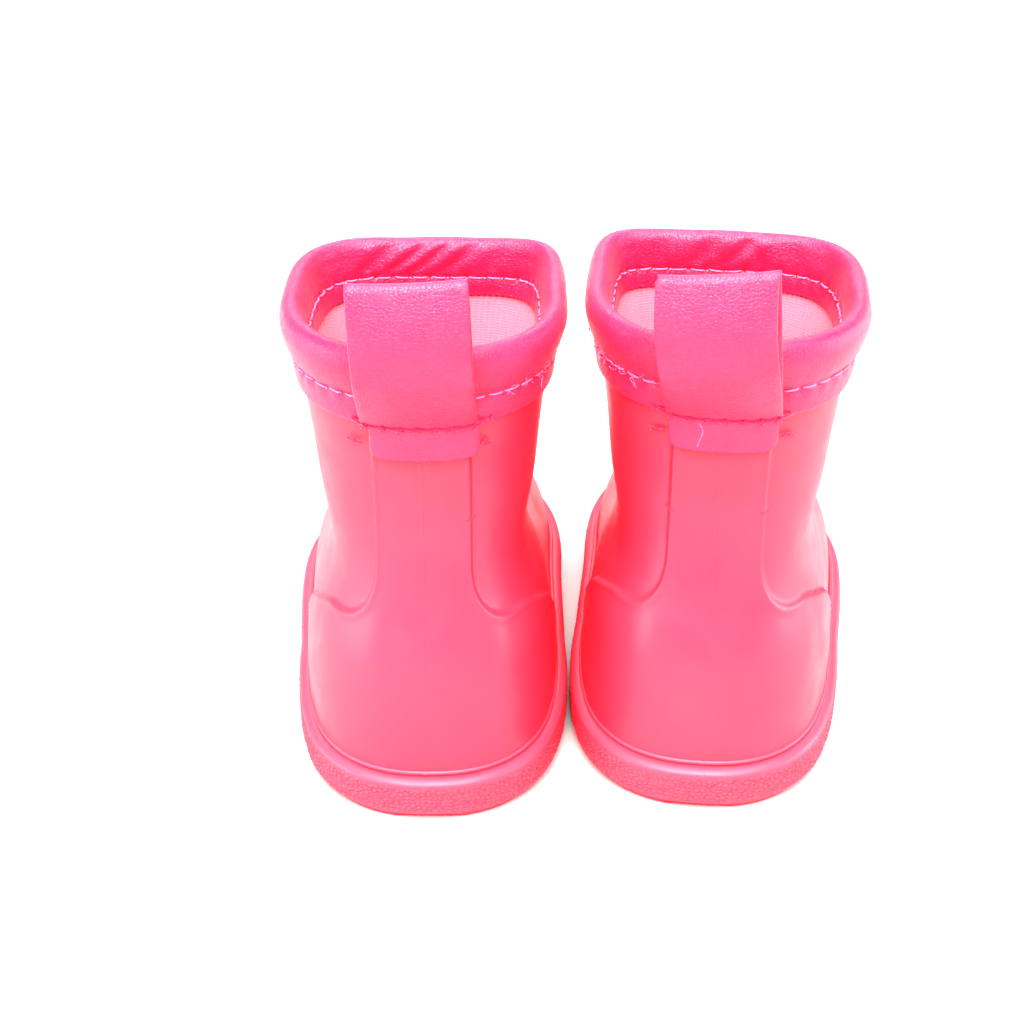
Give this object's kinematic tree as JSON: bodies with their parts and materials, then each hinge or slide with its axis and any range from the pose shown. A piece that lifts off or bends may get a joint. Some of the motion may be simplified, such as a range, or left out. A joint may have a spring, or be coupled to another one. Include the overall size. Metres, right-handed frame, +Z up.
{
  "type": "pair of rain boots",
  "caption": "Toddler's rubber rain boots with moulded back stay, textured outsole, padded leatherette collar, stitched pull loop and knit lining.",
  "frame": {"origin": "middle of the pair's footprint, on the floor", "axes": "+Z up, +Y towards the toes, +X towards the right boot"},
  "size_m": [0.169, 0.1712, 0.1623],
  "materials": {
    "coral_rubber": "matte moulded rubber",
    "coral_sole": "matte moulded rubber, pebbled side band",
    "pink_leatherette": "fine-grained polyurethane leatherette",
    "salmon_knit": "ribbed knit",
    "insole_foam": "textile-topped foam",
    "white_foam": "open-cell foam",
    "pink_thread": "spun polyester thread"
  },
  "bodies": {
    "left_boot": {"left_outsole": "coral_sole", "left_upper_shell": "coral_rubber", "left_lining": "salmon_knit", "left_collar_foam": "white_foam", "left_collar_cover": "pink_leatherette", "left_collar_outer_seam": "pink_thread", "left_collar_inner_seam": "pink_thread", "left_loop_base": "pink_leatherette", "left_loop_seam": "pink_thread"},
    "left_loop": {"left_pull_loop": "pink_leatherette"},
    "left_insole_pad": {"left_insole": "insole_foam"},
    "right_boot": {"right_outsole": "coral_sole", "right_upper_shell": "coral_rubber", "right_lining": "salmon_knit", "right_collar_foam": "white_foam", "right_collar_cover": "pink_leatherette", "right_collar_outer_seam": "pink_thread", "right_collar_inner_seam": "pink_thread", "right_loop_base": "pink_leatherette", "right_loop_seam": "pink_thread"},
    "right_loop": {"right_pull_loop": "pink_leatherette"},
    "right_insole_pad": {"right_insole": "insole_foam"}
  },
  "joints": [
    {"name": "right_boot_lift", "type": "slide", "parent": "left_boot", "child": "right_boot", "axis": [0, 0, 1], "range_m": [0, 0.2]},
    {"name": "left_loop_tilt", "type": "hinge", "parent": "left_boot", "child": "left_loop", "pos_m": [-0.0421, -0.07416, 0.1193], "axis": [1, 0, 0], "range_deg": [0, 68], "stiffness_Nm_per_rad": 0.005},
    {"name": "left_insole_lift", "type": "hinge", "parent": "left_boot", "child": "left_insole_pad", "pos_m": [-0.0421, 0.07181, 0.01448], "axis": [-1, 0, 0], "range_deg": [0, 3]},
    {"name": "right_loop_tilt", "type": "hinge", "parent": "right_boot", "child": "right_loop", "pos_m": [0.03439, -0.06897, 0.1193], "axis": [0.9968, -0.0802, 0], "range_deg": [0, 68], "stiffness_Nm_per_rad": 0.005},
    {"name": "right_insole_lift", "type": "hinge", "parent": "right_boot", "child": "right_insole_pad", "pos_m": [0.04609, 0.07654, 0.01448], "axis": [-0.9968, 0.0802, 0], "range_deg": [0, 3]}
  ]
}
